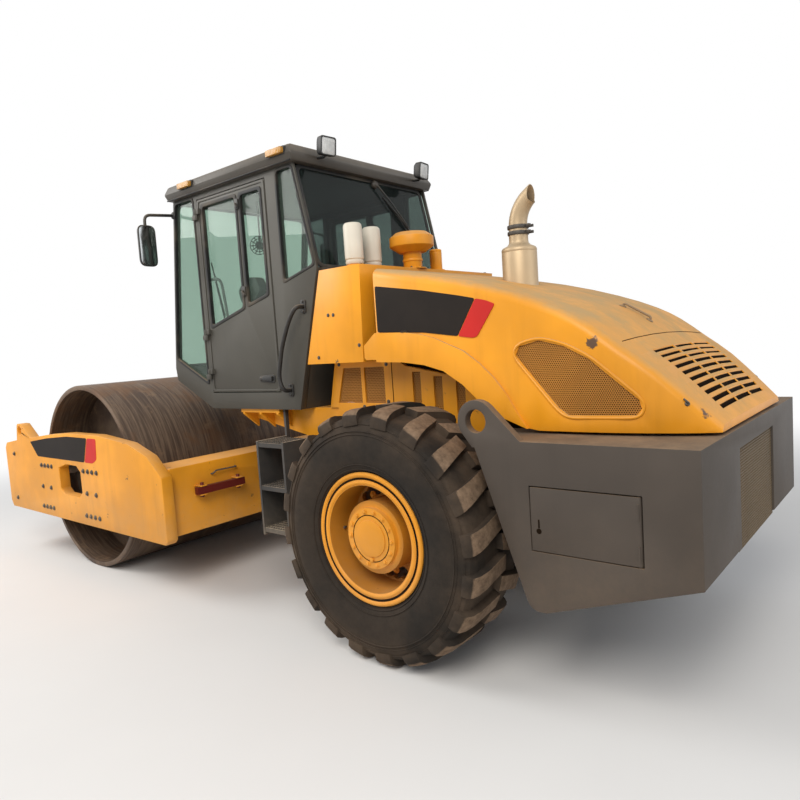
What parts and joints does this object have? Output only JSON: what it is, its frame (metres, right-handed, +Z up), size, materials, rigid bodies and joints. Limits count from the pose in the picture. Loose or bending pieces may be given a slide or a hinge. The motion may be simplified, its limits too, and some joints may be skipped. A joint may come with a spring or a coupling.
{
  "type": "road roller",
  "caption": "Single-drum soil roller with a smooth steel drum in a box yoke, a central steering hitch, a glazed cab, a sloping engine hood and rubber drive tyres.",
  "frame": {"origin": "on the ground under the middle of the machine's box", "axes": "+X forward to the drum, +Y to the machine's left, +Z up"},
  "size_m": [6.49, 2.4, 3.14],
  "materials": {
    "yellow_paint": "satin, dusty",
    "hood_moulding": "satin, dusty",
    "grey_paint": "satin, dusty",
    "cab_paint": "satin",
    "roof_moulding": "satin",
    "black_paint": "matt",
    "black_plastic": "matt",
    "chair_fabric": "woven",
    "tyre_rubber": "matt, dusty",
    "pane": "clear, tinted",
    "amber_lens": "gloss",
    "white_paint": "satin",
    "stack_steel": "weathered",
    "worn_steel": "worn, rusty",
    "red_paint": "satin",
    "engine_iron": "rough",
    "core_metal": "dusty"
  },
  "bodies": {
    "rear_body": {"rear_frame": "grey_paint", "counterweight": "grey_paint", "rear_axle": "grey_paint", "engine": "engine_iron", "radiator": "core_metal", "side_screens": "yellow_paint", "hydraulic_tank": "yellow_paint", "return_filters": "white_paint", "air_cleaner": "yellow_paint", "tank_breather": "yellow_paint", "cab_supports": "yellow_paint", "cab_floor": "cab_paint", "cab_nose": "cab_paint", "left_cab_side": "cab_paint", "right_cab_side": "cab_paint", "cab_rear": "cab_paint", "cab_roof": "roof_moulding", "windscreen": "pane", "rear_window": "pane", "quarter_glass": "pane", "chair_base": "black_plastic", "chair_cushion": "chair_fabric", "chair_back": "chair_fabric", "console": "black_plastic", "hand_wheel": "black_plastic", "steps": "black_paint", "handrails": "black_paint", "mirrors": "black_plastic", "work_lamps": "black_plastic", "marker_lamps": "amber_lens"},
    "hood": {"hood": "hood_moulding", "hood_screens": "black_plastic", "exhaust_stack": "stack_steel"},
    "left_wheel": {"left_tyre": "tyre_rubber", "left_rim": "yellow_paint"},
    "right_wheel": {"right_tyre": "tyre_rubber", "right_rim": "yellow_paint"},
    "hitch": {"hitch": "grey_paint"},
    "yoke": {"left_side_plate": "yellow_paint", "right_side_plate": "yellow_paint", "front_beam": "yellow_paint", "rear_beam": "yellow_paint", "drum_mounts": "black_paint", "scrapers": "black_paint", "lock_bar": "red_paint"},
    "drum": {"drum": "worn_steel"},
    "left_door": {"left_door": "cab_paint", "left_door_glass": "pane"},
    "right_door": {"right_door": "cab_paint", "right_door_glass": "pane"},
    "left_access_door": {"left_access_door": "grey_paint"},
    "right_access_door": {"right_access_door": "grey_paint"},
    "left_barrel": {"left_barrel": "yellow_paint"},
    "left_rod": {"left_rod": "worn_steel"},
    "right_barrel": {"right_barrel": "yellow_paint"},
    "right_rod": {"right_rod": "worn_steel"}
  },
  "joints": [
    {"name": "steer", "type": "hinge", "parent": "rear_body", "child": "hitch", "pos_m": [0.13, 0, 0.7], "axis": [0, 0, 1], "range_deg": [-33, 33]},
    {"name": "yoke_swing", "type": "hinge", "parent": "hitch", "child": "yoke", "pos_m": [0.415, 0, 0.7], "axis": [1, 0, 0], "range_deg": [-10, 10]},
    {"name": "drum_spin", "type": "hinge", "parent": "yoke", "child": "drum", "pos_m": [1.805, 0, 0.8], "axis": [0, 1, 0], "continuous": true},
    {"name": "left_wheel_spin", "type": "hinge", "parent": "rear_body", "child": "left_wheel", "pos_m": [-1.545, 0.88, 0.72], "axis": [0, 1, 0], "continuous": true},
    {"name": "right_wheel_spin", "type": "hinge", "parent": "rear_body", "child": "right_wheel", "pos_m": [-1.545, -0.88, 0.72], "axis": [0, 1, 0], "continuous": true},
    {"name": "left_door_swing", "type": "hinge", "parent": "rear_body", "child": "left_door", "pos_m": [0.363, 0.716, 2.2], "axis": [0, 0, -1], "range_deg": [0, 85]},
    {"name": "right_door_swing", "type": "hinge", "parent": "rear_body", "child": "right_door", "pos_m": [0.363, -0.716, 2.2], "axis": [0, 0, 1], "range_deg": [0, 85]},
    {"name": "hood_lift", "type": "hinge", "parent": "rear_body", "child": "hood", "pos_m": [-1.3425, 0, 2.214], "axis": [0, 1, 0], "range_deg": [0, 50]},
    {"name": "left_access_swing", "type": "hinge", "parent": "rear_body", "child": "left_access_door", "pos_m": [-2.992, 0.9925, 0.925], "axis": [0, 0, 1], "range_deg": [0, 100]},
    {"name": "right_access_swing", "type": "hinge", "parent": "rear_body", "child": "right_access_door", "pos_m": [-2.992, -0.9925, 0.925], "axis": [0, 0, -1], "range_deg": [0, 100]},
    {"name": "left_barrel_swing", "type": "hinge", "parent": "rear_body", "child": "left_barrel", "pos_m": [-0.49, 0.24, 0.7], "axis": [0, 0, 1], "range_deg": [-8, 8]},
    {"name": "left_rod_slide", "type": "slide", "parent": "left_barrel", "child": "left_rod", "axis": [0.9996, -0.0278, 0], "range_m": [-0.14, 0.14]},
    {"name": "right_barrel_swing", "type": "hinge", "parent": "rear_body", "child": "right_barrel", "pos_m": [-0.49, -0.24, 0.7], "axis": [0, 0, 1], "range_deg": [-8, 8]},
    {"name": "right_rod_slide", "type": "slide", "parent": "right_barrel", "child": "right_rod", "axis": [0.9996, 0.0278, 0], "range_m": [-0.14, 0.14]}
  ],
  "couplings": [
    {"joint": "left_barrel_swing", "follows": "steer", "ratio": 0.12027},
    {"joint": "left_rod_slide", "follows": "steer", "m_per_rad": -0.21769},
    {"joint": "right_barrel_swing", "follows": "steer", "ratio": 0.12027},
    {"joint": "right_rod_slide", "follows": "steer", "m_per_rad": 0.21769}
  ]
}
